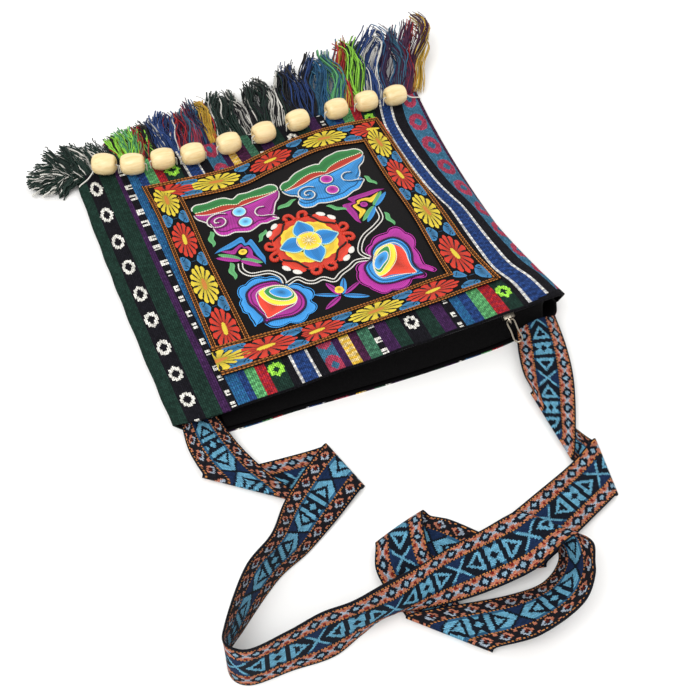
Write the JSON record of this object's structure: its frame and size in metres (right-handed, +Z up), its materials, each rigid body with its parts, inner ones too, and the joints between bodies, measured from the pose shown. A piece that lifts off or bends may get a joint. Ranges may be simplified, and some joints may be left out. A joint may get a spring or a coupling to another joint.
{
  "type": "crossbody bag",
  "caption": "Flat square crossbody bag of striped hand-loom cloth with an embroidered square, wooden beads, yarn fringe, zipped mouth and woven strap.",
  "frame": {"origin": "on the underside of the back wall, on the floor under the middle of the embroidered square", "axes": "+X along the mouth, +Y from the mouth to the fringe, +Z up from the floor that the bag lies on"},
  "size_m": [0.3805, 0.5612, 0.0386],
  "materials": {
    "loom_cloth": "coarse striped hand-loom cotton",
    "satin": "black satin with thread embroidery",
    "flower_ribbon": "jacquard ribbon",
    "zip_tape": "black woven tape",
    "zip_coil": "black nylon coil",
    "zip_metal": "nickel-plated casting and wire",
    "bead_wood": "turned and varnished",
    "white_thread": "cotton thread",
    "fringe_yarn": "loose twisted cotton yarns",
    "strap_band": "two-faced jacquard webbing"
  },
  "bodies": {
    "bag": {"front_panel": "loom_cloth", "back_panel": "loom_cloth", "embroidered_panel": "satin", "ribbon_bottom": "flower_ribbon", "ribbon_left": "flower_ribbon", "ribbon_right": "flower_ribbon", "ribbon_top": "flower_ribbon", "zip_tape_front": "zip_tape", "zip_coil": "zip_coil", "zip_tape_back": "zip_tape", "zip_slider": "zip_metal", "bead_01": "bead_wood", "bead_02": "bead_wood", "bead_03": "bead_wood", "bead_04": "bead_wood", "bead_05": "bead_wood", "bead_06": "bead_wood", "bead_07": "bead_wood", "bead_08": "bead_wood", "bead_09": "bead_wood", "bead_10": "bead_wood", "bead_thread_01": "white_thread", "bead_thread_02": "white_thread", "bead_thread_03": "white_thread", "bead_thread_04": "white_thread", "bead_thread_05": "white_thread", "bead_thread_06": "white_thread", "bead_thread_07": "white_thread", "bead_thread_08": "white_thread", "bead_thread_09": "white_thread", "bead_thread_10": "white_thread", "fringe": "fringe_yarn", "strap": "strap_band"},
    "zip_pull": {"zip_pull": "zip_metal"}
  },
  "joints": [
    {"name": "pull_swing", "type": "hinge", "parent": "bag", "child": "zip_pull", "pos_m": [0.09806, -0.13175, 0.02395], "axis": [-0.8497, 0.2108, -0.4833], "range_deg": [-54, 58]}
  ]
}
